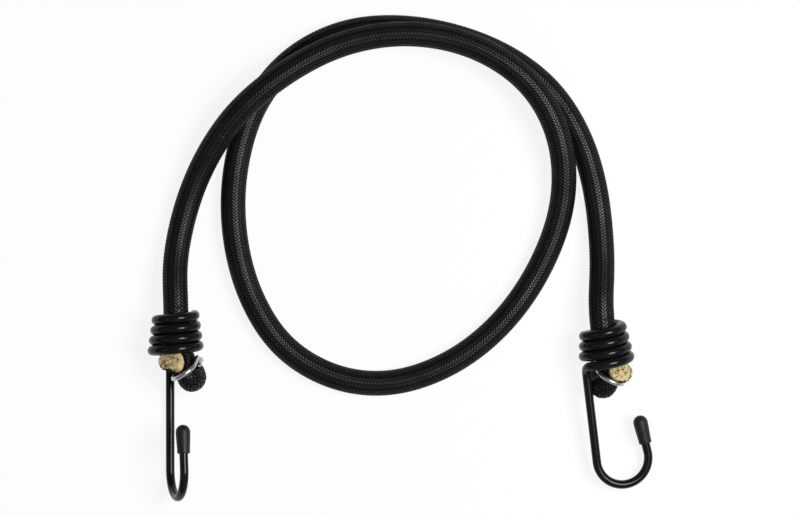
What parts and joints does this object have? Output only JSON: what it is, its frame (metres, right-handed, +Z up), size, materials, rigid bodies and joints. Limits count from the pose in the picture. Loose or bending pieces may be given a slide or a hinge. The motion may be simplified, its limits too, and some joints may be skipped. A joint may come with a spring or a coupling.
{
  "type": "bungee cord",
  "caption": "Braided elastic cord lying in a loop, with a coiled wire hook, a ring-clamped folded end and a rubber tip cap at each end.",
  "frame": {"origin": "on the table, midway between the two hooks", "axes": "+Z up from the table, +X from the left hook to the right hook, +Y from the hooks to the loop"},
  "size_m": [0.1973, 0.1903, 0.0247],
  "materials": {
    "braided_sheath": "black braided polyester, dull with pale flecks",
    "rubber_core": "tan latex strands, matte",
    "hook_wire": "gloss black coated steel wire",
    "tip_cap": "dark grey dipped rubber, satin",
    "hog_ring": "bright galvanised steel wire"
  },
  "bodies": {
    "cord": {"left_leg_sheath": "braided_sheath", "left_leg_core": "rubber_core", "loop_sheath": "braided_sheath", "loop_core": "rubber_core", "right_leg_sheath": "braided_sheath", "right_leg_core": "rubber_core"},
    "left_neck": {"left_neck_sheath": "braided_sheath", "left_neck_core": "rubber_core"},
    "left_end": {"left_fold_sheath": "braided_sheath", "left_fold_core": "rubber_core", "left_hog_ring": "hog_ring", "left_hook": "hook_wire", "left_hook_cap": "tip_cap"},
    "right_neck": {"right_neck_sheath": "braided_sheath", "right_neck_core": "rubber_core"},
    "right_end": {"right_fold_sheath": "braided_sheath", "right_fold_core": "rubber_core", "right_hog_ring": "hog_ring", "right_hook": "hook_wire", "right_hook_cap": "tip_cap"}
  },
  "joints": [
    {"name": "left_stretch", "type": "slide", "parent": "cord", "child": "left_neck", "axis": [0, -1, 0], "range_m": [0, 0.07], "stiffness_N_per_m": 1500, "deforming": ["left_leg_sheath", "left_leg_core"]},
    {"name": "left_twist", "type": "hinge", "parent": "left_neck", "child": "left_end", "pos_m": [-0.0875, 0.0206, 0.01105], "axis": [0, 0.9998, 0.0175], "range_deg": [-105, 75]},
    {"name": "right_stretch", "type": "slide", "parent": "cord", "child": "right_neck", "axis": [0.1219, -0.9925, 0], "range_m": [0, 0.08], "stiffness_N_per_m": 1500, "deforming": ["right_leg_sheath", "right_leg_core"]},
    {"name": "right_twist", "type": "hinge", "parent": "right_neck", "child": "right_end", "pos_m": [0.0808, 0.0164, 0.01105], "axis": [-0.1212, 0.9871, 0.1045], "range_deg": [-190, 0]}
  ]
}
